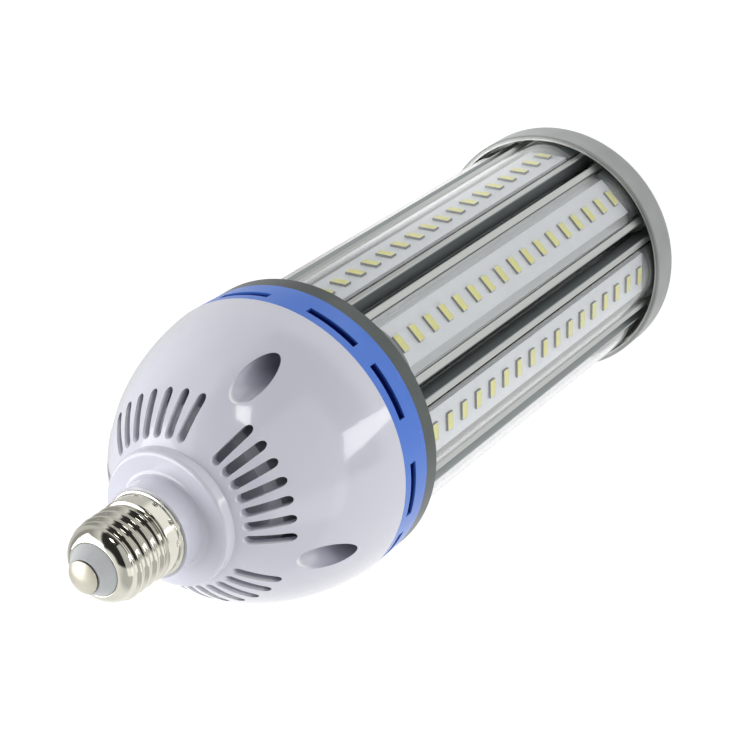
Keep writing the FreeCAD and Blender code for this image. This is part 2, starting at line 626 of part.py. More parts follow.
def fan_rotor():
    low = Z_FAN + FAN_PLATE + FAN_END_GAP
    high = Z_FAN + FAN_DEPTH - FAN_END_GAP
    under_roof = high - FAN_HUB_ROOF
    cup = cylinder(FAN_HUB, low, high).cut(cylinder(FAN_HUB - FAN_HUB_WALL, low - 1, under_roof))
    shaft = cylinder(FAN_SHAFT, Z_FAN + FAN_END_GAP, high - FAN_HUB_ROOF / 2)
    tip = FAN_BORE - FAN_TIP_GAP
    depth = high - low
    chord = depth / math.sin(math.radians(FAN_PITCH)) * 1.4
    blade = box(FAN_HUB - FAN_HUB_WALL / 2, tip + 1, -chord / 2, chord / 2,
                -BLADE_THICKNESS / 2, BLADE_THICKNESS / 2)
    blade.rotate(ORIGIN, V(1, 0, 0), FAN_PITCH)
    blade.translate(V(0, 0, (low + high) / 2))
    sweep = cylinder(tip, low + BLADE_END_GAP, high - BLADE_END_GAP)
    sweep = sweep.cut(cylinder(FAN_HUB - FAN_HUB_WALL / 2, low, high))
    wedge_turn = 360 / FAN_BLADES * 0.8
    wedge = Part.makeCylinder(tip + 2, depth, V(0, 0, low), AXIS, wedge_turn)
    wedge.rotate(ORIGIN, AXIS, -wedge_turn / 2)
    blade = blade.common(sweep).common(wedge)
    blades = [spun(blade, 360 / FAN_BLADES * i) for i in range(FAN_BLADES)]
    return cup.fuse([shaft] + blades).removeSplitter()


# Driver

def driver_board():
    disc = cylinder(DRIVER_RADIUS, Z_DRIVER, Z_PARTS)
    holes = [cylinder(CHANNEL_BORE + SCREW_CLEARANCE, Z_DRIVER - 1, Z_PARTS + 1,
                      polar(DRIVER_SCREWS, a)) for a in POCKET_ANGLES]
    return disc.cut(holes)


def driver_cover():
    """Cup with bevelled shoulders over the parts on the board, open at its top for the wires."""
    r = DRIVER_SCREWS - DRIVER_HEAD - DRIVER_COVER_GAP
    top = Z_PARTS + DRIVER_COVER_HEIGHT
    wall, bevel = DRIVER_COVER_WALL, DRIVER_COVER_BEVEL
    inner_bevel = bevel + wall * math.tan(math.pi / 8)
    cup = turned((r - wall, Z_PARTS), (r, Z_PARTS), (r, top - bevel), (r - bevel, top),
                 (DRIVER_COVER_MOUTH, top), (DRIVER_COVER_MOUTH, top - wall),
                 (r - inner_bevel, top - wall), (r - wall, top - inner_bevel))
    gap = box(r - wall - 1, r + 1, -DRIVER_COVER_SLOT / 2, DRIVER_COVER_SLOT / 2,
              Z_PARTS + DRIVER_COVER_LAND, top - DRIVER_COVER_LAND)
    return cup.cut([spun(gap, 360 / DRIVER_COVER_SLOTS * i) for i in range(DRIVER_COVER_SLOTS)])


def on_board(width, depth, low, high):
    """Block with its middle on the axis, between two heights over the board's top."""
    return box(-width / 2, width / 2, -depth / 2, depth / 2, Z_PARTS + low, Z_PARTS + high)


def transformer():
    core = on_board(CORE_WIDTH, CORE_DEPTH, CORE_LIFT, CORE_HEIGHT)
    bobbin = on_board(BOBBIN_WIDTH, BOBBIN_DEPTH, 0, BOBBIN_HEIGHT)
    return core.fuse(bobbin).removeSplitter()


def capacitor(radius, height, at):
    low, high = Z_PARTS, Z_PARTS + height
    crease, waist = low + height / 12, radius - CAN_CREASE
    can = turned((0, low), (radius, low), (radius, crease), (waist, crease + CAN_CREASE),
                 (radius, crease + 2 * CAN_CREASE), (radius, high - CAN_BEVEL),
                 (radius - CAN_BEVEL, high), (0, high))
    return moved(can, at)


def choke(at):
    middle = V(0, -CHOKE_THICKNESS / 2, Z_PARTS + CHOKE_RADIUS)
    ring = Part.makeCylinder(CHOKE_RADIUS, CHOKE_THICKNESS, middle, V(0, 1, 0))
    foot = on_board(CHOKE_RADIUS * 1.5, CHOKE_THICKNESS, 0, CHOKE_FOOT)
    bore = Part.makeCylinder(CHOKE_BORE, CHOKE_THICKNESS, middle, V(0, 1, 0))
    return moved(ring.fuse(foot).removeSplitter().cut(bore), at)


def rectifier(at):
    return moved(on_board(RECTIFIER_THICKNESS, RECTIFIER_WIDTH, 0, RECTIFIER_HEIGHT), at)


def terminal_block(at):
    length = TERMINAL_PITCH * TERMINALS
    body = on_board(TERMINAL_DEPTH, length, 0, TERMINAL_HEIGHT)
    top = Z_PARTS + TERMINAL_HEIGHT
    wells = [cylinder(TERMINAL_PITCH / 3, top - TERMINAL_HEIGHT / 2, top + 1,
                      V(0, (i + 0.5) * TERMINAL_PITCH - length / 2, 0)) for i in range(TERMINALS)]
    return moved(body.cut(wells), at)


def groups_of_screws():
    small = CHANNEL_BORE - SHANK_FIT
    cap = [screw(SCREW_HEAD, SCREW_HEAD_HEIGHT, small, SCREW_LENGTH,
                 at + V(0, 0, SCREW_HEAD_HEIGHT), up=False) for at in cap_screw_places()]
    floor_top = Z_COLLAR + COLLAR_FLOOR
    collar = [screw(SCREW_HEAD, SCREW_HEAD_HEIGHT, small, SCREW_LENGTH,
                    at + V(0, 0, floor_top - SCREW_HEAD_HEIGHT)) for at in cap_screw_places()]
    housing = [screw(BIG_HEAD, BIG_HEAD_HEIGHT, BIG_SHANK - SHANK_FIT, SCREW_LENGTH + POCKET_FLOOR,
                     polar(POCKET_CIRCLE, a, Z_DOME + POCKET_FLOOR)) for a in POCKET_ANGLES]
    through_fan = FAN_DEPTH + COLLAR_FLOOR - SCREW_END_GAP
    fan = [screw(SCREW_HEAD, SCREW_HEAD_HEIGHT, small, through_fan,
                 at + V(0, 0, Z_FAN + FAN_DEPTH)) for at in fan_screw_places()]
    driver = [screw(DRIVER_HEAD, SCREW_HEAD_HEIGHT, small, LEDGE_HEIGHT + DRIVER_THICKNESS,
                    polar(DRIVER_SCREWS, a, Z_PARTS)) for a in POCKET_ANGLES]
    return {"end_cap_screws": cap, "collar_screws": collar, "housing_screws": housing,
            "fan_screws": fan, "driver_screws": driver}


def build():
    nodes = {
        "end_cap": end_cap(),
        "module_collar": module_collar(),
        "vent_ring": vent_ring(),
        "driver_housing": driver_housing(),
        "screw_shell": screw_shell(),
        "base_insulator": base_insulator(),
        "centre_contact": centre_contact(),
        "fan_frame": fan_frame(),
        "fan_stator": fan_stator(),
        "fan_rotor": fan_rotor(),
        "driver_board": driver_board(),
        "driver_cover": driver_cover(),
        "transformer": transformer(),
        "main_capacitor": capacitor(MAIN_CAN_RADIUS, MAIN_CAN_HEIGHT,
                                    polar(CANS_CIRCLE, POCKET_TURN + 60)),
        "output_capacitor": capacitor(OUTPUT_CAN_RADIUS, OUTPUT_CAN_HEIGHT,
                                      polar(CANS_CIRCLE, POCKET_TURN + 140)),
        "input_choke": choke(polar(CANS_CIRCLE, POCKET_TURN + 230)),
        "rectifier": rectifier(polar(BLOCKS_CIRCLE, POCKET_TURN + 10)),
        "terminal_block": terminal_block(polar(BLOCKS_CIRCLE, POCKET_TURN + 310)),
    }
    for name, solids in groups_of_screws().items():
        nodes[name] = Part.makeCompound(solids)
    sink, cover, board, row = heat_sink(), clear_cover(), led_board(), led_row()
    lower, upper = seal(Z_MODULE, BOARD_LOW), seal(BOARD_HIGH, Z_COLLAR)
    for number, angle in enumerate(MODULE_ANGLES, start=1):
        nodes["heat_sink_%d" % number] = spun(sink, angle)
        nodes["clear_cover_%d" % number] = spun(cover, angle)
        nodes["led_board_%d" % number] = spun(board, angle)
        nodes["led_row_%d" % number] = spun(row, angle)
    nodes["lower_seals"] = Part.makeCompound([spun(lower, a) for a in MODULE_ANGLES])
    nodes["upper_seals"] = Part.makeCompound([spun(upper, a) for a in MODULE_ANGLES])
    return nodes


os.makedirs("parts", exist_ok=True)
for name, shape in build().items():
    shape.exportStep("parts/%s.step" % name)
    print(name, len(shape.Solids), shape.isValid(), round(shape.Volume, 1))
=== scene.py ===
"""Looks of the corn LED bulb: camera, light, materials and the fine detail over the CAD frame."""
import math

import bpy
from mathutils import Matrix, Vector


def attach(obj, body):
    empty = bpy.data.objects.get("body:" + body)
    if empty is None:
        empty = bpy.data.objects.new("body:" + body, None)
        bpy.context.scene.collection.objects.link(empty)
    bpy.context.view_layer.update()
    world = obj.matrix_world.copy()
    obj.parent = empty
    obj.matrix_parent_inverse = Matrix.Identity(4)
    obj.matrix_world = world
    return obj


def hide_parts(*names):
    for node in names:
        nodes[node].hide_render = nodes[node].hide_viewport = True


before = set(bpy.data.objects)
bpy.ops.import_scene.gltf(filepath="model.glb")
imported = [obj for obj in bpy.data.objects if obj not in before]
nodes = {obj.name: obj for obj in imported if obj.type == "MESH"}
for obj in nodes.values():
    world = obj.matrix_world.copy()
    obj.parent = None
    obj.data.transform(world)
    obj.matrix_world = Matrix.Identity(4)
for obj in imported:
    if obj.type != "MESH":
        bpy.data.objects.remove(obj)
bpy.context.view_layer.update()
MM = 0.001

# Sizes in millimetres and degrees. Those of whole pieces are the ones in the part's source.
MODULES = 8
CAP_RADIUS = 47.3

# LED rows
LED_COUNT = 17
LED_PITCH = 9.4
LED_FIRST_Z = 17.7
LED_LENGTH = 6.6
LED_WIDTH = 3.3
LED_HEIGHT = 0.9
LED_RIM_END = 0.4
LED_RIM_SIDE = 0.07
LED_WINDOW_SINK = 0.08
TERMINAL_LENGTH = 0.2
TERMINAL_INSET = 0.4
TERMINAL_HEIGHT = 0.3
BOARD_FACE = 40.0

# Screw shell
Z_BASE = 266.8
RIM_HEIGHT = 0.5
RIM_RADIUS = 14.04
BAND_RADIUS = 13.35
BAND_BLEND = 0.4
CRIMPS = 12
CRIMP_FIRST = 19.7
CRIMP_RISE = 1.9
CRIMP_DEPTH = 0.55
CRIMP_WIDTH = 0.5
CRIMP_HEIGHT = 0.42
CRIMPS_TOP = Z_BASE + 3.2
ROOT_BLEND = 0.7
THREAD_START = 273.6
THREAD_END = 288.08
THREAD_PITCH = 3.62
THREAD_ROOT = 12.15
THREAD_CREST = 13.2
RUN_IN = 0.5 * THREAD_PITCH
RUN_OUT = 0.6 * THREAD_PITCH
SHOULDER_POWER = 1.5
SHELL_TOP = 291.7
SHELL_MOUTH = 8.6
MOUTH_EDGE = 0.4
SHELL_SHEET = 0.4
SHELL_COLUMNS = 240

# Dome: its ellipsoid, and where its vents and pockets lie
DOME_CENTRE = 190.5
DOME_RADIUS = 50.92
DOME_RISE = 70.3
VENTS_FROM_Z = (230.0, 238.0)
VENTS_FROM_RADIUS = (23.4, 24.2)
POCKETS_FROM_RADIUS = (31.0, 33.0)

# Where colours change within a material, as a fade from the first place to the second: painted
# shade in the ring's slots and on the sink flanks, painted light in the cap, an even tone on the
# sink lips and a darker foot on the contact
RING_SLOT_SHADE = (49.9, 49.0)
CAP_WALL_LIGHT = (CAP_RADIUS - 1.0, CAP_RADIUS - 1.6)
CAP_FLOOR_LIGHT = (1.0, 2.0)
SINK_LIP = (40.9, 41.4)
SINK_FLANK_SHADE = (13.9, 14.1)
CONTACT_FOOT = (296.6, 296.4)

# Camera as fitted to the photo's outlines
CAMERA_PLACE = (469.32, -36.94, 691.36)
CAMERA_TURN = (-25.856, 32.3853, -47.1743)
CAMERA_LENS = 104.28

# Stage, in metres
LAMP_MIDDLE = (0, 0, 0.15)
FLOOR_HALF = 6.0
FLOOR_Z = -0.0002
WINDOW = [(1.102, -0.485, 0.003), (0.268, -0.124, 0.003), (0.265, -0.167, 0.003),
          (1.127, -0.949, 0.003)]
SMALL_WINDOW = [(0.679, 0.575, 0.521), (0.790, 0.434, 0.486), (0.799, 0.310, 0.608),
                (0.709, 0.454, 0.638)]


# Materials

def srgb(r, g, b):
    """Linear colour of an sRGB colour given as 0 to 255."""
    def linear(value):
        c = value / 255
        return c / 12.92 if c <= 0.04045 else ((c + 0.055) / 1.055) ** 2.4
    return (linear(r), linear(g), linear(b), 1.0)


class Nodes:
    """Adds and links nodes in one tree."""

    def __init__(self, tree):
        self.tree = tree

    def add(self, kind, **settings):
        node = self.tree.nodes.new(kind)
        for key, value in settings.items():
            if key in node.inputs:
                node.inputs[key].default_value = value
            else:
                setattr(node, key, value)
        return node

    def link(self, source, target):
        self.tree.links.new(source, target)

    def math(self, operation, *values):
        node = self.add("ShaderNodeMath", operation=operation)
        for socket, value in zip(node.inputs, values):
            if isinstance(value, (int, float)):
                socket.default_value = value
            else:
                self.link(value, socket)
        return node.outputs["Value"]

    def product(self, *values):
        result = values[0]
        for value in values[1:]:
            result = self.math("MULTIPLY", result, value)
        return result

    def length(self, x, y):
        """Distance of (x, y) from the origin."""
        return self.math("SQRT", self.math("ADD", self.product(x, x), self.product(y, y)))

    def spread(self, source, low, high, to_low=0.0, to_high=1.0):
        """Share of the way from low to high, clamped, as a value between two others."""
        node = self.add("ShaderNodeMapRange")
        for name, value in (("From Min", low), ("From Max", high),
                            ("To Min", to_low), ("To Max", to_high)):
            node.inputs[name].default_value = value
        self.link(source, node.inputs["Value"])
        return node.outputs["Result"]

    def band(self, source, low, high, soft):
        """1 between low and high, fading to 0 over soft on both sides."""
        return self.product(self.spread(source, low - soft, low),
                            self.spread(source, high + soft, high))

    def dimmed(self, share, amount):
        """1 where share is 0, down to 1 - amount where it is 1."""
        return self.math("SUBTRACT", 1.0, self.product(share, amount))


class Maker(Nodes):
    """Builds one material's nodes around a Principled shader."""

    def __init__(self, name, **settings):
        self.material = bpy.data.materials.new(name)
        self.material.use_nodes = True
        super().__init__(self.material.node_tree)
        self.shader = self.tree.nodes["Principled BSDF"]
        for socket, value in settings.items():
            self.shader.inputs[socket.replace("_", " ")].default_value = value

    def place(self, scale=(1, 1, 1)):
        """Object coordinates in metres, scaled along each axis."""
        coordinates = self.add("ShaderNodeTexCoord")
        mapping = self.add("ShaderNodeMapping")
        mapping.inputs["Scale"].default_value = scale
        self.link(coordinates.outputs["Object"], mapping.inputs["Vector"])
        return mapping.outputs["Vector"]

    def axes(self):
        """Distance from the lamp's axis, its angle and its height, in millimetres and radians."""
        split = self.add("ShaderNodeSeparateXYZ")
        self.link(self.place((1000, 1000, 1000)), split.inputs["Vector"])
        x, y, z = (split.outputs[axis] for axis in "XYZ")
        return self.length(x, y), self.math("ARCTAN2", y, x), z

    def module_axes(self):
        """Outward and sideways distance in the nearest module's own frame."""
        radius, angle, _ = self.axes()
        half = math.pi / MODULES
        turn = self.math("WRAP", angle, half, -half)
        return (self.product(radius, self.math("COSINE", turn)),
                self.product(radius, self.math("SINE", turn)))

    def noise(self, scale, stretch=(1, 1, 1), detail=3.0):
        texture = self.add("ShaderNodeTexNoise", Scale=scale, Detail=detail)
        self.link(self.place(stretch), texture.inputs["Vector"])
        return texture.outputs["Fac"]

    def ramp(self, source, *stops):
        node = self.add("ShaderNodeValToRGB")
        for element, (position, colour) in zip(node.color_ramp.elements, stops):
            element.position = position
            element.color = colour
        self.link(source, node.inputs["Fac"])
        return node.outputs["Color"]

    def drift(self, source, dark, pale):
        """Colour between two near shades."""
        return self.ramp(source, (0.3, dark), (0.7, pale))

    def mix(self, share, first, second):
        """Blend of two colours, each a socket or a value."""
        node = self.add("ShaderNodeMix", data_type="RGBA")
        self.link(share, node.inputs["Factor"])
        for name, value in (("A", first), ("B", second)):
            socket = [s for s in node.inputs if s.name == name and s.type == "RGBA"][0]
            if isinstance(value, tuple):
                socket.default_value = value
            else:
                self.link(value, socket)
        return [s for s in node.outputs if s.type == "RGBA"][0]

    def base(self):
        """What colours the surface so far."""
        return self.shader.inputs["Base Color"].links[0].from_socket

    def colour(self, source):
        self.link(source, self.shader.inputs["Base Color"])

    def roughness(self, source, low, high):
        self.link(self.spread(source, 0, 1, low, high), self.shader.inputs["Roughness"])

    def bump(self, source, distance, strength=0.3):
        node = self.add("ShaderNodeBump", Strength=strength, Distance=distance)
        self.link(source, node.inputs["Height"])
        self.link(node.outputs["Normal"], self.shader.inputs["Normal"])

    def blend_shader(self, share, other):
        """Mix another shader over the Principled one."""
        mix = self.add("ShaderNodeMixShader")
        self.link(share, mix.inputs[0])
        self.link(self.shader.outputs["BSDF"], mix.inputs[1])
        self.link(other, mix.inputs[2])
        self.link(mix.outputs["Shader"], self.tree.nodes["Material Output"].inputs["Surface"])


def plain(name, dark, pale, rough, scale=60.0, bump=0.00002, stretch=(1, 1, 1), **settings):
    """Material whose colour drifts a little between two shades, with a fine grain."""
    made = Maker(name, **settings)
    made.colour(made.drift(made.noise(scale, stretch), dark, pale))
    made.roughness(made.noise(scale * 3, stretch), rough * 0.85, rough * 1.15)
    made.bump(made.noise(scale * 25, stretch, detail=2.0), bump)
    return made


def dome_plastic():
    """Glossy white, with a painted highlight on the rounded rims of the vents and painted shade
    down the vent sides and deep in the screw pockets, which get little light. depth is 1 on the
    dome's outside."""
    made = Maker("dome plastic", Specular_IOR_Level=0.5, Coat_Weight=0.7, Coat_Roughness=0.02)
    white = made.drift(made.noise(25.0), srgb(215, 216, 228), srgb(220, 221, 232))
    radius, _, z = made.axes()
    above = made.math("SUBTRACT", z, DOME_CENTRE)
    depth = made.length(made.math("DIVIDE", radius, DOME_RADIUS),
                        made.math("DIVIDE", above, DOME_RISE))
    at_vents = made.product(made.spread(z, *VENTS_FROM_Z),
                            made.spread(radius, *VENTS_FROM_RADIUS))
    # painted highlight: paler colour along the rounded rim of each vent
    rim = made.product(at_vents, made.band(depth, 0.988, 0.997, 0.002))
    # painted shade: greyer colour down the vent sides
    vent_wall_shade = made.product(at_vents, made.spread(depth, 0.987, 0.975))
    # painted shade: darker colour deep in the screw pockets
    pocket_shade = made.product(made.spread(depth, 0.95, 0.72),
                             made.spread(radius, *POCKETS_FROM_RADIUS))
    pale = made.mix(rim, white, srgb(248, 248, 252))
    grey = made.mix(vent_wall_shade, pale, srgb(186, 186, 200))
    made.colour(made.mix(pocket_shade, grey, srgb(128, 132, 150)))
    made.roughness(made.noise(75.0), 0.12, 0.18)
    made.bump(made.noise(600.0), 0.00001)
    return made.material


def ring_plastic():
    """Blue plastic, with painted shade: dark navy on the sides of its slots."""
    made = Maker("ring plastic", Specular_IOR_Level=0.45)
    blue = made.drift(made.noise(40.0), srgb(64, 117, 218), srgb(79, 131, 226))
    radius, _, _ = made.axes()
    # painted shade: dark navy on the slot sides behind the ring's outer face
    made.colour(made.mix(made.spread(radius, *RING_SLOT_SHADE), blue, srgb(24, 40, 132)))
    made.roughness(made.noise(120.0), 0.22, 0.3)
    made.bump(made.noise(900.0), 0.00001)
    return made.material


def satin_paint(name, dark, pale, rough=0.38):
    return plain(name, dark, pale, rough, scale=90.0, bump=0.00003, Metallic=0.4,
                 Specular_IOR_Level=0.5)


def cap_paint():
    """Satin grey, with painted light: paler on the cap's floor and wall round the module ends,
    which the lamps barely reach.
    """
    made = satin_paint("cap paint", srgb(160, 163, 162), srgb(172, 175, 173))
    radius, _, z = made.axes()
    # painted light: the cap's floor and wall round the module ends made paler
    inside_painted_light = made.product(made.spread(radius, *CAP_WALL_LIGHT), made.spread(z, *CAP_FLOOR_LIGHT))
    made.colour(made.mix(inside_painted_light, made.base(), srgb(214, 216, 212)))
    return made.material


def extruded_aluminium():
    """Anodised aluminium with fine drawing lines, even on the lips, and painted shade: greyer on
    the flanks down in the gaps between modules.
    """
    made = Maker("extruded aluminium", Metallic=0.85, Specular_IOR_Level=0.5)
    lines = made.noise(900.0, (1, 1, 0.01), detail=4.0)
    broad = made.noise(120.0, (1, 1, 0.03), detail=2.0)
    metal = made.drift(broad, srgb(176, 180, 179), srgb(194, 198, 197))
    outward, sideways = made.module_axes()
    with_lip = made.mix(made.spread(outward, *SINK_LIP), metal, srgb(188, 191, 188))
    # painted shade: greyer colour on the flanks deep in the gaps between modules
    flank_shade = made.spread(made.math("ABSOLUTE", sideways), *SINK_FLANK_SHADE)
    made.colour(made.mix(flank_shade, with_lip, srgb(150, 155, 156)))
    made.roughness(lines, 0.28, 0.45)
    made.bump(lines, 0.00006, 0.5)
    return made.material


def nickel():
    made = Maker("nickel", Metallic=1.0)
    made.colour(made.drift(made.noise(80.0), srgb(214, 212, 199), srgb(226, 224, 212)))
    made.roughness(made.noise(200.0), 0.07, 0.14)
    made.bump(made.noise(600.0), 0.00001)
    return made.material


def contact_metal():
    """Dull tinned metal, darker round its foot."""
    made = plain("contact metal", srgb(204, 199, 182), srgb(216, 212, 196), 0.36, Metallic=0.6)
    _, _, z = made.axes()
    made.colour(made.mix(made.spread(z, *CONTACT_FOOT), made.base(), srgb(62, 60, 54)))
    return made.material


def clear_plastic():
    """Clear cover. Lamps shine through it, because a Transparent shader takes their rays."""
    made = Maker("clear plastic", Transmission_Weight=1.0, IOR=1.45,
                 Base_Color=srgb(253, 254, 255))
    made.roughness(made.noise(300.0, (1, 1, 0.05)), 0.02, 0.06)
    made.bump(made.noise(150.0, (1, 1, 0.02)), 0.00002, 0.25)
    path = made.add("ShaderNodeLightPath")
    clear = made.add("ShaderNodeBsdfTransparent")
    made.blend_shader(path.outputs["Is Shadow Ray"], clear.outputs["BSDF"])
    return made.material


def seen_directly(made, path):
    """1 for camera, mirror and see-through rays."""
    seen = path.outputs["Is Camera Ray"]
    for name in ("Is Glossy Ray", "Is Transmission Ray"):
        seen = made.math("MAXIMUM", seen, path.outputs[name])
    return seen


def floor_material():
    """White to the camera, and keeping the lamp's soft shadow. Mirrors see it dark far in front
    and grey at one side, as the dim parts of a studio."""
    made = Maker("floor", Roughness=0.9)
    made.colour(made.ramp(made.noise(3.0), (0.4, (0.88, 0.88, 0.88, 1)),
                          (0.6, (0.9, 0.9, 0.9, 1))))
    path = made.add("ShaderNodeLightPath")
    radius, angle, _ = made.axes()
    front = made.product(made.spread(radius, 400, 520), made.band(angle, -0.86, 0.95, 0.12))
    side = made.product(made.spread(radius, 90, 150), made.band(angle, 1.1, 2.9, 0.25))
    level = made.product(made.dimmed(front, 0.97), made.dimmed(side, 0.45))
    dark = made.product(path.outputs["Is Glossy Ray"], made.math("SUBTRACT", 1.0, level))
    white = made.add("ShaderNodeEmission", Color=(1, 1, 1, 1))
    made.link(made.spread(dark, 0, 1, 1.12, 0.0), white.inputs["Strength"])
    made.blend_shader(made.product(seen_directly(made, path), 0.88), white.outputs["Emission"])
    return made.material


def card_material(name, colour, strength):
    """Studio card that glows, so that the lamp mirrors it."""
    return Maker(name, Base_Color=colour, Roughness=0.8, Emission_Color=(1, 1, 1, 1),
                 Emission_Strength=strength).material


# Fine detail in place of CAD nodes

def add_object(name, data):
    made = bpy.data.objects.new(name, data)
    bpy.context.scene.collection.objects.link(made)
    return made


def piece(name, points, faces, materials, indices=None):
    """Mesh object from points in millimetres."""
    mesh = bpy.data.meshes.new(name)
    mesh.from_pydata([Vector(p) * MM for p in points], [], faces)
    for material in materials:
        mesh.materials.append(material)
    if indices:
        mesh.polygons.foreach_set("material_index", indices)
    return add_object(name, mesh)


def smooth_step(value):
    value = min(max(value, 0.0), 1.0)
    return value * value * (3 - 2 * value)


def shell_radius(z, angle):
    """Outside radius of the screw shell: rim, crimped band, right-hand thread and shoulder."""
    if z <= Z_BASE + RIM_HEIGHT:
        return RIM_RADIUS
    if z < THREAD_START:
        to_band = smooth_step((z - Z_BASE - RIM_HEIGHT) / BAND_BLEND)
        to_root = smooth_step((z - THREAD_START + ROOT_BLEND) / ROOT_BLEND)
        radius = RIM_RADIUS + (BAND_RADIUS - RIM_RADIUS) * to_band
        radius += (THREAD_ROOT - BAND_RADIUS) * to_root
        rise = (z - Z_BASE - CRIMP_RISE) / CRIMP_HEIGHT
        for number in range(CRIMPS):
            crimp = math.radians(CRIMP_FIRST + 360 / CRIMPS * number)
            off = (angle - crimp + math.pi) % (2 * math.pi) - math.pi
            arc = off * BAND_RADIUS / CRIMP_WIDTH
            radius -= CRIMP_DEPTH * math.exp(-arc ** 2 - rise ** 2)
        return radius
    if z <= THREAD_END:
        phase = (z - THREAD_START) / THREAD_PITCH - angle / (2 * math.pi)
        fade = smooth_step((z - THREAD_START) / RUN_IN) * smooth_step((THREAD_END - z) / RUN_OUT)
        wave = 0.5 - 0.5 * math.cos(2 * math.pi * phase)
        return THREAD_ROOT + (THREAD_CREST - THREAD_ROOT) * wave * fade
    share = min((z - THREAD_END) / (SHELL_TOP - THREAD_END), 1.0)
    bulge = (1 - share ** SHOULDER_POWER) ** (1 / SHOULDER_POWER)
    return SHELL_MOUTH + (THREAD_ROOT - SHELL_MOUTH) * bulge


def heights(low, high, step):
    """Levels from low up to, but without, high."""
    count = max(1, round((high - low) / step))
    return [low + (high - low) * i / count for i in range(count)]


def screw_shell(material):
    """Thin threaded shell: an outer skin and a plainer inner one, joined at both ends."""
    levels = [Z_BASE, Z_BASE + RIM_HEIGHT]
    for low, high, step in ((Z_BASE + RIM_HEIGHT + 0.1, CRIMPS_TOP, 0.1),
                            (CRIMPS_TOP, THREAD_START, 0.25),
                            (THREAD_START, THREAD_END, 0.13),
                            (THREAD_END, SHELL_TOP - MOUTH_EDGE, 0.25),
                            (SHELL_TOP - MOUTH_EDGE, SHELL_TOP, 0.08)):
        levels += heights(low, high, step)
    levels.append(SHELL_TOP)
    turns = [2 * math.pi * i / SHELL_COLUMNS for i in range(SHELL_COLUMNS)]
    rings = [[(shell_radius(z, a), z) for a in turns] for z in levels]
    bore, band_bore = THREAD_ROOT - SHELL_SHEET, BAND_RADIUS - SHELL_SHEET
    inner = [(SHELL_MOUTH - 0.1, SHELL_TOP - 0.3), (bore - 1.0, THREAD_END + 1.9),
             (bore, THREAD_END), (bore, THREAD_START), (band_bore, THREAD_START - 0.6),
             (band_bore, Z_BASE)]
    rings += [[pair] * SHELL_COLUMNS for pair in inner]
    points = [(r * math.cos(a), r * math.sin(a), z)
              for ring in rings for (r, z), a in zip(ring, turns)]
    faces = []
    for row in range(len(rings)):
        below, above = row * SHELL_COLUMNS, (row + 1) % len(rings) * SHELL_COLUMNS
        for i in range(SHELL_COLUMNS):
            j = (i + 1) % SHELL_COLUMNS
            faces.append((below + i, below + j, above + j, above + i))
    made = piece("threaded_shell", points, faces, [material])
    made.data.polygons.foreach_set("use_smooth", [True] * len(faces))
    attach(made, "lamp")
    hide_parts("screw_shell")


def block(x0, x1, y0, y1, z0, z1):
    """Corners and outward faces of a box: its top, which faces +X, comes last."""
    points = [(x, y, z) for x in (x0, x1) for y in (y0, y1) for z in (z0, z1)]
    faces = [(0, 1, 3, 2), (0, 2, 6, 4), (1, 5, 7, 3), (0, 4, 5, 1), (2, 3, 7, 6), (4, 6, 7, 5)]
    return points, faces


def led(middle):
    """One LED facing +X. The kind of each face: 0 package side, dark grey as painted shade, 1
    rim, 2 window, 3 terminal.
    """
    half, wide = LED_LENGTH / 2, LED_WIDTH / 2
    low, high = BOARD_FACE, BOARD_FACE + LED_HEIGHT
    body_end, rim_y, rim_z = half - TERMINAL_LENGTH, half - LED_RIM_END, wide - LED_RIM_SIDE
    points, faces = block(low, high, -body_end, body_end, middle - wide, middle + wide)
    top = faces.pop()
    kinds = [0] * len(faces)
    ring = [(high, y, z) for y, z in ((-rim_y, middle - rim_z), (rim_y, middle - rim_z),
                                      (rim_y, middle + rim_z), (-rim_y, middle + rim_z))]
    start = len(points)
    points += ring + [(high - LED_WINDOW_SINK, y, z) for _, y, z in ring]
    for i in range(4):
        j = (i + 1) % 4
        faces.append((top[i], top[j], start + j, start + i))
        faces.append((start + i, start + j, start + 4 + j, start + 4 + i))
        kinds += [1, 1]
    faces.append(tuple(start + 4 + i for i in range(4)))
    kinds.append(2)
    for side in (-1, 1):
        ends = sorted((side * body_end, side * half))
        more, more_faces = block(low, low + TERMINAL_HEIGHT, *ends,
                                 middle - wide + TERMINAL_INSET, middle + wide - TERMINAL_INSET)
        base = len(points)
        points += more
        faces += [tuple(base + i for i in face) for face in more_faces]
        kinds += [3] * len(more_faces)
    return points, faces, kinds


def led_row(number, materials):
    """All LEDs of one module's board, turned to that module."""
    points, faces, kinds = [], [], []
    for i in range(LED_COUNT):
        more, more_faces, more_kinds = led(LED_FIRST_Z + i * LED_PITCH)
        base = len(points)
        points += more
        faces += [tuple(base + k for k in face) for face in more_faces]
        kinds += more_kinds
    angle = 2 * math.pi * (number - 1) / MODULES
    c, s = math.cos(angle), math.sin(angle)
    points = [(x * c - y * s, x * s + y * c, z) for x, y, z in points]
    made = piece("leds_%d" % number, points, faces, materials, kinds)
    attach(made, "lamp")
    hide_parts("led_row_%d" % number)


# Stage

def add_camera():
    data = bpy.data.cameras.new("camera")
    data.sensor_width = 36.0
    data.lens = CAMERA_LENS
    data.clip_end = 20.0
    camera = add_object("camera", data)
    camera.location = Vector(CAMERA_PLACE) * MM
    camera.rotation_euler = [math.radians(a) for a in CAMERA_TURN]
    bpy.context.scene.camera = camera


def add_card(name, corners, material):
    mesh = bpy.data.meshes.new(name)
    mesh.from_pydata(corners, [], [tuple(range(len(corners)))])
    mesh.materials.append(material)
    add_object(name, mesh)


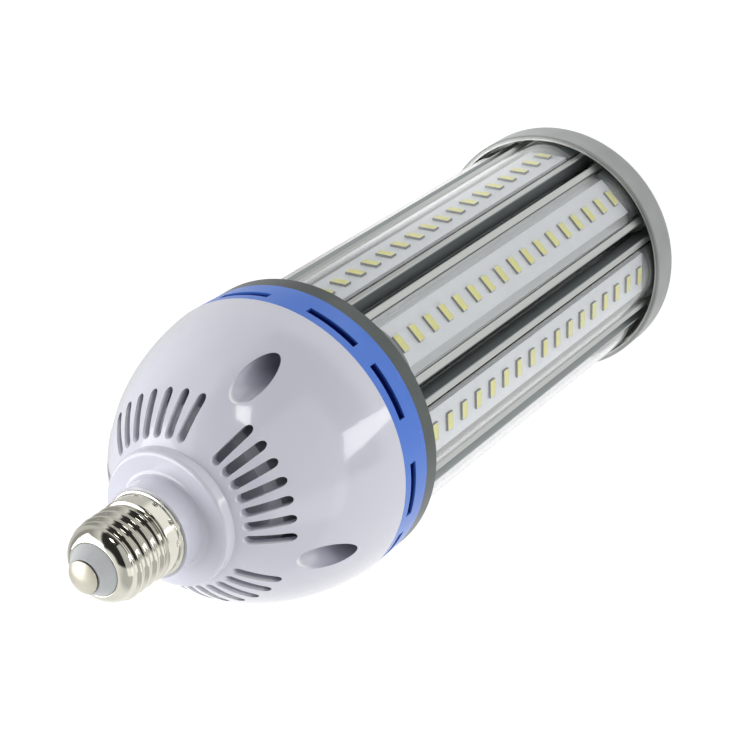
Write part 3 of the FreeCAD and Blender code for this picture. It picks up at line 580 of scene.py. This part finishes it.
def add_light(name, angle, lift, distance, size, power):
    """Soft lamp at a compass angle and elevation, in degrees, that looks at the bulb's middle."""
    data = bpy.data.lights.new(name, "AREA")
    data.shape = "RECTANGLE"
    data.size, data.size_y = size
    data.energy = power
    a, e = math.radians(angle), math.radians(lift)
    away = Vector((math.cos(e) * math.cos(a), math.cos(e) * math.sin(a), math.sin(e))) * distance
    light = add_object(name, data)
    light.location = Vector(LAMP_MIDDLE) + away
    light.rotation_euler = (-away).to_track_quat("-Z", "Y").to_euler()


def add_world(level):
    """White tent round the lamp, dim on the camera's side. Mirrors see that part dark, and
    greyer parts at both sides."""
    world = bpy.data.worlds.new("world")
    bpy.context.scene.world = world
    world.use_nodes = True
    made = Nodes(world.node_tree)
    background = made.tree.nodes["Background"]
    background.inputs["Color"].default_value = (1, 1, 1, 1)
    path = made.add("ShaderNodeLightPath")
    split = made.add("ShaderNodeSeparateXYZ")
    made.link(made.add("ShaderNodeTexCoord").outputs["Generated"], split.inputs["Vector"])
    x, y, z = (split.outputs[axis] for axis in "XYZ")
    angle, lift = made.math("ARCTAN2", y, x), made.math("ARCSINE", z)

    def part(low, high, soft, clear, full, amount):
        """1, less amount between two angles and under a height, in radians."""
        share = made.product(made.band(angle, low, high, soft), made.spread(lift, clear, full))
        return made.dimmed(share, amount)

    front = part(-0.88, 1.05, 0.12, 1.3, 1.15, 0.97)
    side = part(1.6, 2.7, 0.6, 0.9, 0.7, 0.62)
    right = part(-1.8, -0.7, 0.35, 1.3, 0.8, 0.4)
    mirrored = made.product(front, side, right)
    spread_light = made.product(part(-0.8, 1.3, 0.5, 1.6, 1.3, 0.85), level)
    darker = made.product(path.outputs["Is Glossy Ray"], made.math("SUBTRACT", 1.0, mirrored))
    node = made.add("ShaderNodeMix", data_type="FLOAT")
    made.link(seen_directly(made, path), node.inputs[0])
    made.link(spread_light, node.inputs[2])
    made.link(made.math("SUBTRACT", 1.0, darker), node.inputs[3])
    made.link(node.outputs[0], background.inputs["Strength"])


add_camera()
add_world(0.85)
add_light("key", -32, 2, 1.4, (2.6, 2.0), 9.5)
add_light("back", 126, 50, 1.3, (1.3, 1.3), 13.5)
add_card("floor", [(x * FLOOR_HALF, y * FLOOR_HALF, FLOOR_Z)
                   for x, y in ((-1, -1), (1, -1), (1, 1), (-1, 1))], floor_material())
add_card("window", WINDOW, card_material("window", srgb(240, 240, 240), 3.6))
add_card("small window", SMALL_WINDOW, card_material("small window", srgb(240, 232, 214), 5.0))


# The lamp's pieces and their materials

# painted shade: the sides of the white LED packages are coloured dark grey
shaded_package_side = plain("package side", srgb(92, 96, 94), srgb(110, 113, 110), 0.5, scale=400.0)
package = plain("package", srgb(232, 233, 222), srgb(240, 240, 230), 0.4, scale=400.0)
phosphor = plain("phosphor", srgb(255, 247, 120), srgb(255, 252, 166), 0.35, scale=700.0)
terminal = plain("terminal", srgb(196, 198, 198), srgb(214, 215, 214), 0.25, Metallic=1.0)
each_module = range(1, MODULES + 1)

for material, names in (
        (cap_paint(), ["end_cap"]),
        (satin_paint("collar paint", srgb(76, 83, 82), srgb(87, 94, 92), 0.32).material,
         ["module_collar"]),
        (ring_plastic(), ["vent_ring"]),
        (dome_plastic(), ["driver_housing"]),
        (plain("insulator", srgb(196, 199, 201), srgb(206, 209, 210), 0.35).material,
         ["base_insulator"]),
        (contact_metal(), ["centre_contact"]),
        (plain("black plastic", srgb(24, 24, 26), srgb(36, 36, 38), 0.45).material,
         ["fan_frame", "fan_rotor"]),
        (plain("winding", srgb(150, 84, 48), srgb(186, 110, 66), 0.35, scale=300.0,
               stretch=(1, 1, 6), Metallic=0.7).material, ["fan_stator", "input_choke"]),
        (plain("sleeve", srgb(28, 32, 44), srgb(40, 44, 58), 0.35).material,
         ["main_capacitor", "output_capacitor", "rectifier"]),
        (plain("laminate", srgb(28, 84, 52), srgb(38, 100, 62), 0.4, scale=200.0).material,
         ["driver_board", "terminal_block"]),
        (plain("ferrite", srgb(48, 47, 46), srgb(64, 62, 60), 0.6, scale=120.0).material,
         ["transformer"]),
        (plain("cover plastic", srgb(206, 206, 214), srgb(214, 214, 222), 0.5).material,
         ["driver_cover"]),
        (plain("zinc", srgb(170, 170, 168), srgb(190, 190, 188), 0.3, Metallic=1.0).material,
         ["end_cap_screws", "collar_screws", "housing_screws", "fan_screws", "driver_screws"]),
        (plain("seal rubber", srgb(112, 118, 118), srgb(126, 132, 131), 0.6,
               bump=0.00004).material, ["lower_seals", "upper_seals"]),
        (extruded_aluminium(), ["heat_sink_%d" % number for number in each_module]),
        (clear_plastic(), ["clear_cover_%d" % number for number in each_module]),
        (plain("board mask", srgb(243, 247, 250), srgb(247, 250, 252), 0.35,
               scale=150.0).material, ["led_board_%d" % number for number in each_module])):
    for name in names:
        for slot in nodes[name].material_slots:
            slot.material = material

led_materials = [made.material for made in (shaded_package_side, package, phosphor, terminal)]
for number in each_module:
    led_row(number, led_materials)
screw_shell(nickel())

bpy.context.scene.view_settings.view_transform = "Standard"
